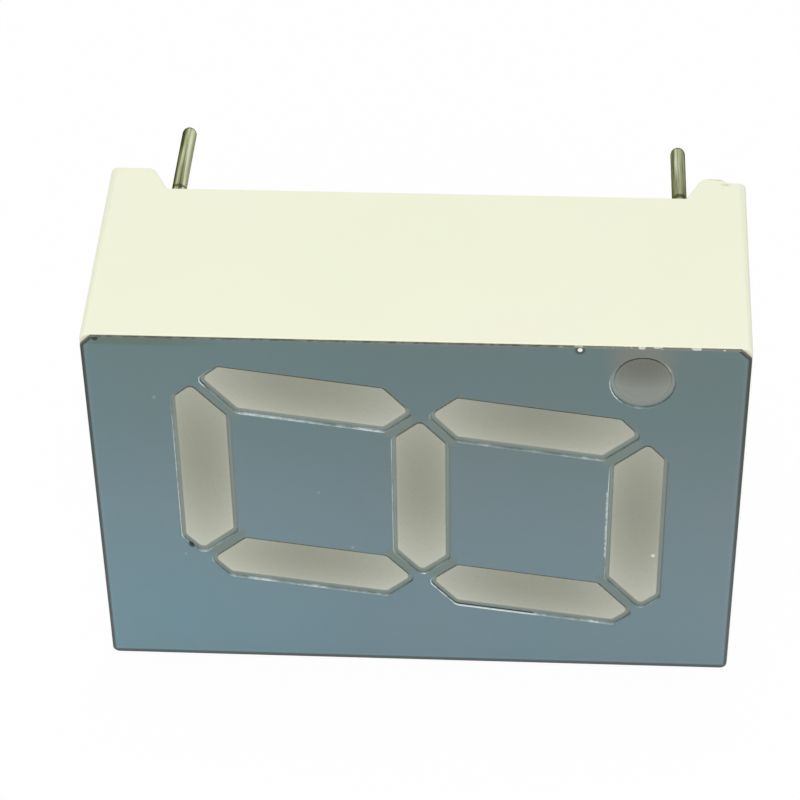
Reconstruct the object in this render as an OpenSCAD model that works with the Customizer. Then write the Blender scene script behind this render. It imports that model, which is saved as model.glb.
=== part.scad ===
// Single-digit seven segment display, 14 mm digit, ten round leads.
// X runs down the digit, Z across it to the right, and Y from the front face to the leads.
// The origin is the centre of the lead pattern in the seating plane, where the feet meet a
// circuit board. The body lies on its long side, so +Z is up.

/* [Body] */
// Length of the body at the feet, along the height of the digit
body_l = 19.05; // [17.5:0.05:26]
// Width of the body at the feet, across the digit
body_w = 12.7; // [12.4:0.1:18]
// Depth from the front face to the seating plane
body_d = 8; // [6.8:0.1:12]
// Moulding draft: how far each side leans in from the feet to the front
draft = 0.09; // [0:0.01:0.2]
// Thickness of the side walls
wall_t = 0.6; // [0.4:0.05:0.7]
// Radius of the body's upright corners
corner_r = 0.2; // [0.1:0.05:0.5]
// Thickness of the plate behind the front face
plate_t = 0.8; // [0.5:0.05:1.2]
// Wall round each light funnel
funnel_wall = 0.42; // [0.25:0.01:0.45]

/* [Feet] */
// Height of the corner feet above the back edge
foot_h = 1; // [0.5:0.05:1.4]
// How far a foot's flat runs on past the inside of the wall round the corner
foot_run = 0.7; // [0.35:0.05:1.2]
// Run of the slope at the inner end of a foot
foot_slope = 0.5; // [0.2:0.05:0.8]
// Radius of the shoulder between flat and slope
shoulder_r = 0.3; // [0.1:0.05:0.4]
// Depth of the sunken corner on the foot beside the decimal point
sink_h = 0.19; // [0.05:0.01:0.3]
// Length of that sunken corner
sink_l = 0.58; // [0.3:0.01:0.9]
// Run of the rounded flank that leads down to it
sink_flank = 0.3; // [0.1:0.05:0.4]

/* [Digit] */
// Height of the digit over its outer edges
digit_h = 14; // [13:0.1:15]
// Width of the digit over its outer edges, before the slant
digit_w = 7.93; // [7:0.01:8.4]
// Width of a bar
bar_w = 1.43; // [1.2:0.01:1.7]
// Gap between neighbouring bars, square to their mitred ends
bar_gap = 0.49; // [0.4:0.01:0.7]
// How far the outer tips reach past the crossing of the bars' centre lines
tip_reach = 0.1; // [0:0.01:0.3]
// Rounding at the bars' tips
tip_r = 0.3; // [0.1:0.01:0.4]
// Rounding at the bars' other corners
bar_r = 0.12; // [0.05:0.01:0.2]
// Slant of the digit, in degrees
slant = 8; // [0:0.5:10]
// Offset of the digit from the middle of the body, towards the digit's foot
digit_dx = 0.15; // [-0.3:0.01:0.3]
// Offset of the digit from the middle of the body, towards the decimal point
digit_dz = 0.44; // [0:0.01:0.5]
// Diameter of the decimal point
point_d = 1.6; // [1.2:0.05:1.8]
// Place of the decimal point along the body
point_x = 6.42; // [6.2:0.01:6.6]
// Place of the decimal point across the body
point_z = 5.06; // [5:0.01:5.2]

/* [Face foil] */
// Thickness of the grey foil
foil_t = 0.1; // [0.09:0.01:0.25]
// How far the foil's edge stays inside the edge of the body
foil_inset = 0.02; // [0:0.01:0.15]
// Length cut off the foil's two upper corners, along each side
foil_cut = 0.3; // [0.25:0.01:0.6]
// Gap between a window and its opening in the foil, on the side towards the decimal point
foil_gap_up = 0.06; // [0.03:0.01:0.18]
// The same gap on the other side, wider because the openings are punched off their place
foil_gap_down = 0.18; // [0.03:0.01:0.18]
// How far the windows lie behind the foil's front
window_sink = 0.05; // [0.02:0.01:0.08]

/* [Light funnels] */
// Length of a funnel's mouth at the circuit board
mouth_l = 1.9; // [1.7:0.1:2.4]
// Width of a funnel's mouth at the circuit board
mouth_w = 0.9; // [0.7:0.05:1.1]
// Diameter of the decimal point's funnel at the circuit board
point_mouth_d = 1.2; // [1.1:0.05:1.3]
// How far that funnel leans in from the long wall on its way to the board
point_lean = 0.25; // [0.2:0.01:0.4]

/* [Circuit board] */
// Thickness of the circuit board
board_t = 1; // [0.6:0.1:1.6]
// Gap between the board's edge and the walls
board_gap = 0.1; // [0.05:0.01:0.2]
// Width of the ledge that the board rests on
ledge_w = 0.35; // [0.2:0.05:0.45]
// Thickness of the copper
copper_t = 0.035; // [0.035:0.005:0.07]
// Diameter of the solder pads round the leads
pad_d = 0.9; // [0.8:0.05:1.2]
// Width of a copper track
track_w = 0.3; // [0.2:0.05:0.4]
// Gap kept between two copper nets
net_gap = 0.15; // [0.1:0.01:0.2]
// Diameter of the plugged holes that join the board's two sides
via_d = 0.22; // [0.18:0.01:0.26]
// Gap between a lead and its hole in the board
hole_gap = 0.04; // [0.02:0.005:0.06]

/* [Chips] */
// Side of a light-emitting chip
chip_w = 0.3; // [0.2:0.01:0.36]
// Height of a chip
chip_h = 0.2; // [0.15:0.01:0.3]
// Distance from the chip to its bonding pad, centre to centre
bond_span = 0.7; // [0.6:0.05:0.8]
// Diameter of a bonding pad
bond_pad_d = 0.34; // [0.3:0.01:0.36]
// Diameter of the bonding wire
wire_d = 0.03; // [0.025:0.005:0.05]

/* [Leads] */
// Diameter of a lead over its tin coat
lead_d = 0.45; // [0.4:0.01:0.6]
// Thickness of the tin coat, thin at the potting and full at the seating plane
tin_t = 0.01; // [0.005:0.005:0.02]
// Pitch of the leads along a row
lead_pitch = 2.54; // [2:0.01:2.6]
// Distance between the two rows
row_span = 15.24; // [15:0.01:16]
// Leads in each row
row_count = 5; // [5:1:5]
// Length of the leads beyond the seating plane, in the row above the digit
lead_out_top = 3.8; // [2:0.05:8]
// The same in the row below the digit
lead_out_foot = 3.2; // [2:0.05:8]
// Height of a solder fillet
solder_h = 0.4; // [0.2:0.05:0.5]

/* [Potting] */
// Depth of the potting's surface below the back edge
pot_sink = 0.5; // [0.2:0.05:0.8]
// Thickness of potting over the circuit board
pot_t = 0.7; // [0.6:0.05:1.2]

/* [Hidden] */

$fn = 48;
// Sides of the decimal point's funnel
point_sides = 32;
// How far a cutting shape runs past what it cuts
cut = 0.5;

// Depths, from the front face at the lowest Y to the feet at zero
face_y = -body_d;
window_y = face_y + window_sink;
plate_y = face_y + foil_t;
pocket_y = plate_y + plate_t;
rim_y = -foot_h;
pot_y = rim_y - pot_sink;
board_back_y = pot_y - pot_t;
board_y = board_back_y - board_t;
copper_y = board_y - copper_t;

// The openings are larger than the windows by the middle of both gaps, and shifted by the rest
foil_gap = (foil_gap_down + foil_gap_up) / 2;
foil_shift = (foil_gap_down - foil_gap_up) / 2;

// Skeleton of the digit: half the distance between the centre lines of facing bars
half_h = (digit_h - bar_w) / 2;
half_w = (digit_w - bar_w) / 2;
// The eight lights in the order of the nodes; the last is the decimal point
A = 0; B = 1; C = 2; D = 3; E = 4; F = 5; G = 6; POINT = 7;
LIGHTS = [A, B, C, D, E, F, G, POINT];

// ---- Outlines of the bars ----------------------------------------------------------

// A point s along a bar and t across it, towards the outside of the digit, in the plane of
// the upright digit as [right, up]
function on_digit(bar, s, t) =
    bar == A ? [s, half_h + t] :
    bar == D ? [s, -half_h - t] :
    bar == G ? [s, t] :
    bar == B ? [half_w + t, s] :
    bar == C ? [half_w + t, -s] :
    bar == E ? [-half_w - t, -s] :
    [-half_w - t, s];

// The same point on the body as [x, z], leaning with the digit
function on_body(bar, s, t) =
    let (p = on_digit(bar, s, t))
    bar == POINT ? [point_x + s, point_z + t] :
    [digit_dx - p[1], digit_dz + p[0] + p[1] * tan(slant)];

function is_upright(bar) = bar == B || bar == C || bar == E || bar == F;

// Where a bar's centre line starts and ends: the crossings with its neighbours
function bar_start(bar) = bar == POINT || is_upright(bar) ? 0 : -half_w;
function bar_end(bar) = bar == POINT ? 0 : is_upright(bar) ? half_h : half_w;
function bar_middle(bar) = (bar_start(bar) + bar_end(bar)) / 2;

// Six corners [s, t, radius] of a mitred bar between two crossings. miter is the gap to the
// neighbour along the centre line. reach_0 and reach_1 say how far each outer tip goes past
// its crossing, and a reach of -miter makes that end a symmetrical point.
function bar_corners(start, end, width, miter, reach_0, reach_1, r_tip, r) = [
    [start + miter + width / 2, -width / 2, r],
    [end - miter - width / 2, -width / 2, r],
    [end + (reach_1 - miter) / 2, (miter + reach_1) / 2, r_tip],
    [end + reach_1 - width / 2, width / 2, r],
    [start - reach_0 + width / 2, width / 2, r],
    [start - (reach_0 - miter) / 2, (miter + reach_0) / 2, r_tip]];

// Rounds each corner of a convex outline with an arc of steps + 1 points
function unit(v) = v / norm(v);
function rounded(corners, steps) = [
    for (i = [0:len(corners) - 1])
        let (
            n = len(corners),
            here = [corners[i][0], corners[i][1]],
            back = unit([for (k = [0, 1]) corners[(i + n - 1) % n][k] - here[k]]),
            ahead = unit([for (k = [0, 1]) corners[(i + 1) % n][k] - here[k]]),
            half = acos(back * ahead) / 2,
            r = corners[i][2],
            centre = here + unit(back + ahead) * r / sin(half),
            from = here + back * r / tan(half) - centre,
            to = here + ahead * r / tan(half) - centre)
        for (k = [0:steps])
            centre + r * unit(from * (1 - k / steps) + to * k / steps)];

// Outline of a light's window, grown by grow, as points [s, t]
function ring_st(middle, r) =
    [for (i = [0:point_sides - 1]) middle + r * [cos(360 * i / point_sides), sin(360 * i / point_sides)]];
function window_st(light, grow, steps) =
    let (
        miter = (bar_gap - 2 * grow) / sqrt(2),
        reach = (tip_reach + grow) * sqrt(2),
        inner = is_upright(light) || light == G ? -miter : reach,
        outer = light == G ? -miter : reach)
    light == POINT ? ring_st([0, 0], point_d / 2 + grow) :
    rounded(bar_corners(bar_start(light), bar_end(light), bar_w + 2 * grow, miter, inner, outer,
        tip_r + grow, bar_r + grow), steps);

// Outline of the funnel's mouth at the circuit board, and the middle of that mouth
function mouth_middle(light) = light == POINT ? [0, -point_lean] : [bar_middle(light), 0];
function mouth_st(light, grow, steps) =
    let (m = mouth_middle(light))
    light == POINT ? ring_st(m, point_mouth_d / 2 + grow) :
    rounded(bar_corners(m[0] - mouth_l / 2 - grow, m[0] + mouth_l / 2 + grow, mouth_w + 2 * grow,
        0, 0, 0, bar_r + grow, bar_r + grow), steps);

// Outline points as [x, z], always counter-clockwise seen from the front
function cross2(u, v) = u[0] * v[1] - u[1] * v[0];
function is_turned(bar) =
    let (o = on_body(bar, 0, 0)) cross2(on_body(bar, 1, 0) - o, on_body(bar, 0, 1) - o) < 0;
function mapped(bar, points) =
    let (p = [for (q = points) on_body(bar, q[0], q[1])])
    is_turned(bar) ? [for (i = [len(p) - 1:-1:0]) p[i]] : p;

// A centred rectangle with round corners, as points [x, z]
function round_box(half_x, half_z, r, steps) = rounded(
    [[-half_x, -half_z, r], [half_x, -half_z, r], [half_x, half_z, r], [-half_x, half_z, r]], steps);

// ---- Shared shapes -----------------------------------------------------------------

// Skins a stack of outlines [y, points], all with the same number of points
module loft(rings) {
    n = len(rings[0][1]);
    last = len(rings) - 1;
    polyhedron(
        points = [for (ring = rings) for (p = ring[1]) [p[0], ring[0], p[1]]],
        faces = concat(
            [[for (i = [n - 1:-1:0]) i]],
            [for (k = [0:last - 1]) for (i = [0:n - 1])
                let (j = (i + 1) % n) [k * n + i, k * n + j, (k + 1) * n + j, (k + 1) * n + i]],
            [[for (i = [0:n - 1]) last * n + i]]),
        convexity = 4);
}

// A flat outline in [x, z] made solid from one depth to another
module slab(y_0, y_1) {
    translate([0, y_1, 0]) rotate([90, 0, 0]) linear_extrude(y_1 - y_0) children();
}

// A round post along Y at a point [x, z]
module post(at, r, y_0, y_1) {
    translate([at[0], y_1, at[1]]) rotate([90, 0, 0]) cylinder(r = r, h = y_1 - y_0);
}

// How far the body's sides lean in at a depth, against their width at the feet (below zero)
function side_lean(y) = -draft * y / plate_y;
// Outside of the body; the same outline shrunk by the wall and by a ledge is its inside
function body_ring(y, inset, steps) =
    [y, round_box(body_l / 2 - inset + side_lean(y), body_w / 2 - inset + side_lean(y),
        corner_r, steps)];

// Light funnel of a bar or of the decimal point, grown by grow. It widens from the circuit
// board to the face plate, and is straight where it runs on past either of them.
module funnel(light, grow, y_front, y_back) {
    steps = grow > 0 ? 1 : 3;
    window = mapped(light, window_st(light, grow, steps));
    mouth = mapped(light, mouth_st(light, grow, steps));
    loft(concat(
        y_front < plate_y ? [[y_front, window]] : [],
        [[plate_y, window], [copper_y, mouth]],
        y_back > copper_y ? [[y_back, mouth]] : []));
}

// ---- Housing and foil --------------------------------------------------------------

// Gap between two feet, as an outline [along the wall, y] with the feet's round shoulders
module foot_gap(half_l) {
    flat = half_l - wall_t - foot_run;
    lean = atan2(foot_h, foot_slope);
    trim = shoulder_r * tan(lean / 2);
    shoulder = [for (k = [0:4]) [flat + trim - shoulder_r * sin(lean * k / 4),
        -shoulder_r * (1 - cos(lean * k / 4))]];
    edge = concat([[flat + trim, cut]], shoulder, [[flat - foot_slope, rim_y]]);
    polygon(concat(edge, [for (i = [len(edge) - 1:-1:0]) [-edge[i][0], edge[i][1]]]));
}

// Outline of the sunken corner on one foot, with the round flank of the lump beside it
module sunken_corner() {
    end = body_l / 2 + cut;
    start = body_l / 2 - sink_l - sink_flank;
    polygon(concat(
        [[end, cut], [start, cut]],
        [for (a = [90:-22.5:0]) [start + sink_flank * cos(a), sink_h * (sin(a) - 1)]],
        [[end, -sink_h]]));
}

module walls() difference() {
    loft([body_ring(plate_y, 0, 4), body_ring(0, 0, 4)]);
    loft([body_ring(pocket_y, wall_t + ledge_w, 2), body_ring(copper_y, wall_t + ledge_w, 2)]);
    loft([body_ring(copper_y, wall_t, 2), body_ring(cut, wall_t, 2)]);
    translate([0, 0, -body_w]) linear_extrude(2 * body_w) foot_gap(body_l / 2);
    rotate([0, 90, 0]) translate([0, 0, -body_l]) linear_extrude(2 * body_l) foot_gap(body_w / 2);
    translate([0, 0, body_w / 2 - wall_t]) linear_extrude(body_w) sunken_corner();
}

module housing() color("ivory") difference() {
    union() {
        walls();
        intersection() {
            union() for (light = LIGHTS) funnel(light, funnel_wall, plate_y, copper_y);
            loft([body_ring(plate_y, 0, 4), body_ring(0, 0, 4)]);
        }
    }
    for (light = LIGHTS) funnel(light, 0, plate_y - cut, copper_y + cut);
}

// The foil covers the body's front, apart from its two upper corners
module foil_outline() {
    half_x = body_l / 2 - draft - foil_inset;
    half_z = body_w / 2 - draft - foil_inset;
    difference() {
        polygon(round_box(half_x, half_z, corner_r, 4));
        for (side = [-1, 1]) translate([side * half_x, half_z]) rotate(45)
            square(sqrt(2) * foil_cut, center = true);
    }
}

module face_foil() color("slategray") slab(face_y, plate_y) difference() {
    foil_outline();
    translate([0, -foil_shift])
        for (light = LIGHTS) polygon(mapped(light, window_st(light, foil_gap, 3)));
}

// ---- Lights ------------------------------------------------------------------------

// The chip sits on one side of the funnel's mouth and its bonding pad on the other
function bond_side(light) = light == D || light == G ? -1 : 1;
function beside_middle(light, shift) =
    let (m = mouth_middle(light)) on_body(light, m[0] + bond_side(light) * shift, m[1]);
function chip_at(light) = beside_middle(light, -bond_span / 2);
function bond_at(light) = beside_middle(light, bond_span / 2);
function bond_clear_r() = bond_pad_d / 2 + net_gap;

// Places its children at the chip, with X pointing to the bonding pad
module at_chip(light, y) {
    reach = bond_at(light) - chip_at(light);
    translate([chip_at(light)[0], y, chip_at(light)[1]]) rotate([0, -atan2(reach[1], reach[0]), 0])
        children();
}

module chip(light) color("darkorange") at_chip(light, copper_y - chip_h)
    translate([-chip_w / 2, 0, -chip_w / 2]) cube([chip_w, chip_h, chip_w]);

// Gold wire: an arch from the top of the chip, with a straight leg down to the bonding pad
module wire(light) color("gold") at_chip(light, copper_y - chip_h) {
    span = norm(bond_at(light) - chip_at(light));
    translate([span / 2, 0, 0]) rotate([180, 0, 0]) rotate_extrude(angle = 180)
        translate([span / 2, 0]) circle(d = wire_d, $fn = 16);
    translate([span, 0, 0]) rotate([-90, 0, 0]) cylinder(d = wire_d, h = chip_h, $fn = 16);
}

// Milky resin cast into one funnel, round the chip and its wire
module window(light) color("gainsboro") difference() {
    union() {
        funnel(light, 0, window_y, copper_y);
        slab(copper_y, board_y) translate(bond_at(light)) difference() {
            circle(r = bond_clear_r());
            circle(d = bond_pad_d);
        }
    }
    chip(light);
    wire(light);
}

// ---- Circuit board -----------------------------------------------------------------

// Leads 1 to 5 run to the right below the digit, and 6 to 10 run back above it
LEADS = [1:2 * row_count];
function is_foot_row(lead) = lead <= row_count;
function lead_at(lead) =
    let (along = is_foot_row(lead) ? lead - 1 : 2 * row_count - lead)
    [(is_foot_row(lead) ? 1 : -1) * row_span / 2, (along - (row_count - 1) / 2) * lead_pitch];
// The lead of each light from a to g, then that of the decimal point
LEAD_OF = [7, 6, 4, 2, 1, 9, 10, 5];
COMMON = [3, 8];

lead_r = lead_d / 2;
wire_r = lead_r - tin_t;
hole_r = wire_r + hole_gap;
// The common copper goes through the board beside each of the two middle leads
function common_via(lead) = lead_at(lead) * (1 - 2 * pad_d / row_span);

// Way of a track from its bonding pad to its lead. The track of bar g bends round the others.
function track(light) =
    let (from = bond_at(light), to = lead_at(LEAD_OF[light]))
    light == G ? [from, [from[0] - lead_pitch / 2, to[1] + track_w], to] : [from, to];

module strip(from, to) {
    run = to - from;
    translate(from) rotate(atan2(run[1], run[0])) translate([0, -track_w / 2])
        square([norm(run), track_w]);
}

// A track behind the board, with round ends and a solder pad at its last point. The pad is
// cut off where it would reach past the board's edge.
module track_outline(points, lead) {
    for (i = [1:len(points) - 1]) strip(points[i - 1], points[i]);
    for (p = points) translate(p) circle(d = track_w);
    translate(points[0]) circle(d = bond_pad_d);
    intersection() {
        translate(lead_at(lead)) circle(d = pad_d);
        board_outline(0);
    }
}

module light_track(light) track_outline(track(light), LEAD_OF[light]);
module common_track(lead) track_outline([common_via(lead), lead_at(lead)], lead);

// Rear copper of one net, made solid and drilled for its lead
module rear_copper(lead) slab(board_back_y, board_back_y + copper_t) difference() {
    children();
    translate(lead_at(lead)) circle(r = hole_r);
}

// One light's copper: bonding pad, plugged hole through the board, track and solder pad
module copper_net(light) color("peru") {
    post(bond_at(light), bond_pad_d / 2, copper_y, board_y);
    post(bond_at(light), via_d / 2, board_y, board_back_y);
    rear_copper(LEAD_OF[light]) light_track(light);
}

module board_outline(inset) polygon(round_box(
    body_l / 2 - wall_t - board_gap + side_lean(board_y) - inset,
    body_w / 2 - wall_t - board_gap + side_lean(board_y) - inset, corner_r, 2));

// Copper that carries all the chips, joined through the board to the two middle leads
module copper_common() color("peru") {
    slab(copper_y, board_y) difference() {
        board_outline(net_gap);
        for (light = LIGHTS) translate(bond_at(light)) circle(r = bond_clear_r());
        for (lead = LEADS) translate(lead_at(lead)) circle(r = hole_r + net_gap);
    }
    for (lead = COMMON) {
        post(common_via(lead), via_d / 2, board_y, board_back_y);
        rear_copper(lead) common_track(lead);
    }
}

module circuit_board() color("seagreen") difference() {
    slab(board_y, board_back_y) board_outline(0);
    for (light = LIGHTS) post(bond_at(light), via_d / 2, board_y - cut, board_back_y + cut);
    for (lead = COMMON) post(common_via(lead), via_d / 2, board_y - cut, board_back_y + cut);
    for (lead = LEADS) post(lead_at(lead), hole_r, board_y - cut, board_back_y + cut);
}

// ---- Leads, solder and potting -----------------------------------------------------

function lead_out(lead) = is_foot_row(lead) ? lead_out_foot : lead_out_top;

// Bare round wire of a lead between two depths
module bare_wire(lead, y_0, y_1) post(lead_at(lead), wire_r, y_0, y_1);

// Round wire, dipped in tin from its tip to the potting. The coat thins out towards the potting.
module lead(lead) color("silver") {
    at = lead_at(lead);
    straight = lead_out(lead) - lead_r;
    post(at, lead_r, 0, straight);
    translate([at[0], straight, at[1]]) sphere(r = lead_r);
    translate([at[0], pot_y, at[1]]) rotate([-90, 0, 0])
        cylinder(r1 = wire_r, r2 = lead_r, h = -pot_y);
    bare_wire(lead, board_y, pot_y);
}

// Fillet of solder that climbs a lead from its pad
module fillet_cone(lead) {
    pad_y = board_back_y + copper_t;
    translate([lead_at(lead)[0], pad_y, lead_at(lead)[1]]) rotate([-90, 0, 0])
        cylinder(r1 = (pad_d / 2 + lead_r) / 2, r2 = hole_r, h = solder_h);
}

module solder_joints() color("lightgray") for (lead = LEADS) difference() {
    fillet_cone(lead);
    bare_wire(lead, board_y, pot_y);
}

// Resin poured over the board and down the gap round its edge
module potting() color("beige") difference() {
    loft([body_ring(copper_y, wall_t, 2), body_ring(pot_y, wall_t, 2)]);
    slab(copper_y - cut, board_back_y) board_outline(0);
    slab(board_back_y, board_back_y + copper_t) {
        for (light = LIGHTS) light_track(light);
        for (lead = COMMON) common_track(lead);
    }
    for (lead = LEADS) {
        bare_wire(lead, board_back_y, pot_y + cut);
        fillet_cone(lead);
    }
}

// ---- Nodes -------------------------------------------------------------------------

housing();
face_foil();
window(A);  // window_a
window(B);  // window_b
window(C);  // window_c
window(D);  // window_d
window(E);  // window_e
window(F);  // window_f
window(G);  // window_g
window(POINT);  // window_point
circuit_board();
copper_common();
copper_net(A);  // copper_a
copper_net(B);  // copper_b
copper_net(C);  // copper_c
copper_net(D);  // copper_d
copper_net(E);  // copper_e
copper_net(F);  // copper_f
copper_net(G);  // copper_g
copper_net(POINT);  // copper_point
chip(A);  // chip_a
chip(B);  // chip_b
chip(C);  // chip_c
chip(D);  // chip_d
chip(E);  // chip_e
chip(F);  // chip_f
chip(G);  // chip_g
chip(POINT);  // chip_point
wire(A);  // wire_a
wire(B);  // wire_b
wire(C);  // wire_c
wire(D);  // wire_d
wire(E);  // wire_e
wire(F);  // wire_f
wire(G);  // wire_g
wire(POINT);  // wire_point
solder_joints();
lead(1);  // lead_1
lead(2);  // lead_2
lead(3);  // lead_3
lead(4);  // lead_4
lead(5);  // lead_5
lead(6);  // lead_6
lead(7);  // lead_7
lead(8);  // lead_8
lead(9);  // lead_9
lead(10);  // lead_10
potting();
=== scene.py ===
# %% [markdown]
# # A seven segment display
# The display is a small white box with a grey foil on its front. Milky windows show through
# the foil, and ten tinned leads stand out of the back. The shapes come from the CAD frame,
# which is loaded first. This script refines what light falls on: soft edges, the rims round
# the windows, the resin behind, and the finish of every surface.

# %% Load the frame
import bpy
import bmesh
import math
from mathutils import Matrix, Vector
from mathutils.geometry import intersect_line_line


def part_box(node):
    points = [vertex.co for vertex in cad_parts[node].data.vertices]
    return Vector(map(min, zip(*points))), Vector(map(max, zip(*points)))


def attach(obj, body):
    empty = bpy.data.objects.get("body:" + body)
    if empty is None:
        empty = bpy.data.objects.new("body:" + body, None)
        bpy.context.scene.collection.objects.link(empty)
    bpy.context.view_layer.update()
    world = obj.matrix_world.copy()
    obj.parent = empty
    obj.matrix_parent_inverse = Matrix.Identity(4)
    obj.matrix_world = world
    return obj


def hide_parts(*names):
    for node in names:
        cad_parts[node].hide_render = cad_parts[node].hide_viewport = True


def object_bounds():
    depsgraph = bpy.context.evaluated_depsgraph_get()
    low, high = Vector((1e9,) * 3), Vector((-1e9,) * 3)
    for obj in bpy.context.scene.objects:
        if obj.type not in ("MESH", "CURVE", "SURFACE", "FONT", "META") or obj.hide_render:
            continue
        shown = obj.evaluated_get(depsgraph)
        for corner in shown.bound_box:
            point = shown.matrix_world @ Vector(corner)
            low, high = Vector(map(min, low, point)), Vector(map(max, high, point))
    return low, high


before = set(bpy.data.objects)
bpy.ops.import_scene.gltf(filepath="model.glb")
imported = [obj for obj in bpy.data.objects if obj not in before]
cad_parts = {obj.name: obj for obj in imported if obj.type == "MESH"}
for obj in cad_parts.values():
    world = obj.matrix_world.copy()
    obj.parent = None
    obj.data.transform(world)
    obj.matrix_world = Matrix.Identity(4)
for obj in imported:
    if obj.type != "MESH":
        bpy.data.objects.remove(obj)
cad_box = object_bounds()
print("nodes:", len(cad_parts))

# %% [markdown]
# The object is only 19 mm long, while Blender counts in metres. All sizes below are written
# in millimetres and pass through one factor, so that they read like those on a drawing.
# The depths of the layers and the size of the front come from the frame.

# %% Millimetres and the main sizes
MM = 0.001

def corners(node_name):
    """Lowest and highest corner of a node, in millimetres."""
    return [Vector(corner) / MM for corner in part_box(node_name)]

foil_low, foil_high = corners("face_foil")
FACE_Y, PLATE_Y = foil_low.y, foil_high.y
FRONT_X, FRONT_Z = foil_high.x, foil_high.z
WINDOW_Y = corners("window_a")[0].y
POTTING_Y = corners("potting")[1].y
FLOOR_Z = cad_box[0][2] / MM
LIGHTS = ["a", "b", "c", "d", "e", "f", "g"]
print("front half sizes", round(FRONT_X, 3), round(FRONT_Z, 3), "floor at", round(FLOOR_Z, 3), "mm")

# %% [markdown]
# Many marks and finishes have a place on the front, given by how far they are to the right and
# how far up. All the openings of the foil lie inside its outline, so two limits tell a corner
# of an opening from one of the outer edge.

# %% Places on the front
OPENINGS_X, OPENINGS_Z = 9.3, 6.1
POINT = (6.42, 5.06)
CUT = 0.3

def at_depth(place, y, right=0.0, up=0.0):
    """A place on the front as a point in space, moved to the right and up if asked."""
    return (place[0] + right, y, place[1] + up)


def on_the_outside(v):
    """True for a corner of the outer edge or of the walls."""
    return abs(v.co.x) > OPENINGS_X or abs(v.co.z) > OPENINGS_Z

print("the decimal point is at", POINT, "and", CUT, "mm are cut off the foil's upper corners")

# %% [markdown]
# A finish is a small network of nodes. Written out in full, every node and link takes a line
# of its own, so the nodes that are used most get a short name here. Each method makes a
# node, links what goes in, and hands back the socket that comes out.

# %% Nodes under short names
class Network:
    def node(self, kind, **values):
        made = self.tree.nodes.new(kind)
        for key, value in values.items():
            setattr(made, key, value)
        return made

    def link(self, source, target):
        self.tree.links.new(source, target)

    def math(self, way, *values):
        """One sum on numbers or sockets."""
        made = self.node("ShaderNodeMath", operation=way)
        for socket, value in zip(made.inputs, values):
            if isinstance(value, (int, float)):
                socket.default_value = value
            else:
                self.link(value, socket)
        return made.outputs[0]

    def joined(self, way, values):
        total = values[0]
        for value in values[1:]:
            total = self.math(way, total, value)
        return total

    def largest(self, *values):
        """The largest of several values."""
        return self.joined("MAXIMUM", values)

    def product(self, *values):
        """Several values multiplied, so that a mark shows only where all of them are."""
        return self.joined("MULTIPLY", values)

    def fit(self, value, low, high, to_low=0.0, to_high=1.0):
        """A value's range from low to high, fitted softly to another range."""
        made = self.node("ShaderNodeMapRange", interpolation_type="SMOOTHSTEP")
        limits = {"From Min": low, "From Max": high, "To Min": to_low, "To Max": to_high}
        for name, number in limits.items():
            made.inputs[name].default_value = number
        self.link(value, made.inputs["Value"])
        return made.outputs["Result"]

    def ramp(self, value, *stops):
        """A colour or grey for each stop (position, colour)."""
        made = self.node("ShaderNodeValToRGB")
        elements = made.color_ramp.elements
        while len(elements) < len(stops):
            elements.new(0.5)
        for element, (position, colour) in zip(elements, stops):
            element.position = position
            element.color = (*colour, 1) if isinstance(colour, tuple) else (colour,) * 3 + (1,)
        self.link(value, made.inputs["Fac"])
        return made.outputs["Color"]

    def blend(self, amount, first, second, way="MIX"):
        """The first colour, with an amount of the second laid over it."""
        made = self.node("ShaderNodeMix", data_type="RGBA", blend_type=way)
        for socket, value in ((made.inputs[0], amount), (made.inputs[6], first), (made.inputs[7], second)):
            if isinstance(value, tuple):
                socket.default_value = (*value, 1)
            elif isinstance(value, float):
                socket.default_value = value
            else:
                self.link(value, socket)
        return made.outputs[2]

    def tint(self, tone, colours, amount=1.0):
        """A tone multiplied by other colours."""
        return self.blend(amount, tone, colours, "MULTIPLY")

    def attribute(self, name):
        """A value that the mesh carries per vertex."""
        return self.node("ShaderNodeAttribute", attribute_name=name).outputs["Fac"]

print("short names:", ", ".join(name for name in vars(Network) if not name.startswith("_")))

# %% [markdown]
# Patterns and marks need a place on the piece. They could follow a UV map, but these pieces are
# flat or straight, so the object's own coordinates do. Turned into millimetres, they give
# a pattern a real size, and it stays on the piece from every side.

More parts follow.
